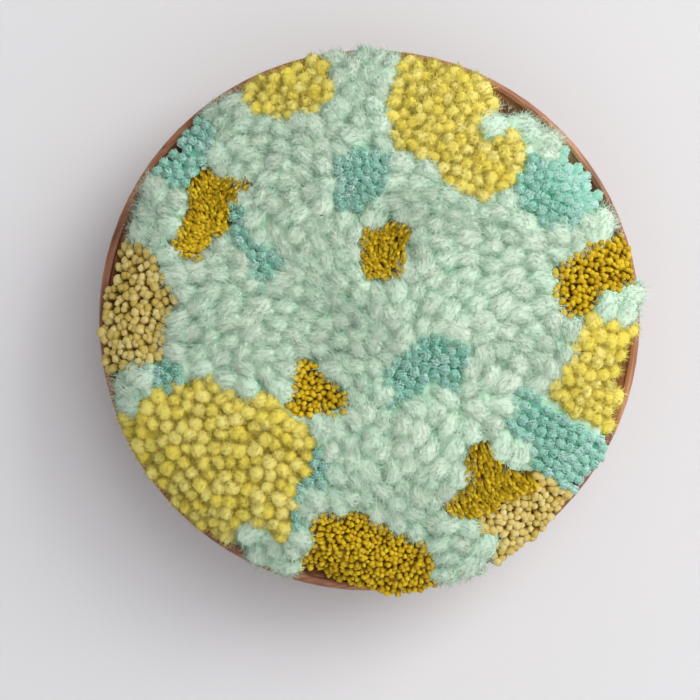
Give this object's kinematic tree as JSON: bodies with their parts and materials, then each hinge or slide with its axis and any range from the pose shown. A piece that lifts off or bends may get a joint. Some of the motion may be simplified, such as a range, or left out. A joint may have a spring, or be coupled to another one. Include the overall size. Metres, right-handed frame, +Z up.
{
  "type": "framed fiber art in a round turned wooden frame",
  "caption": "Round domed pile textile of roving, loops and cut floss, seated in a shallow turned wooden frame with a flat back for a wall.",
  "frame": {"origin": "centre of the frame's flat foot, on the wall plane", "axes": "-Y out of the wall, the way the face looks; +Y into the wall; +Z up; +X to the right as seen from the front"},
  "size_m": [0.152, 0.0489, 0.1533],
  "materials": {
    "wood": "oiled satin",
    "yarn": "matte wool and cotton pile"
  },
  "bodies": {
    "root": {"wood_frame": "wood", "pile": "yarn"}
  },
  "joints": []
}
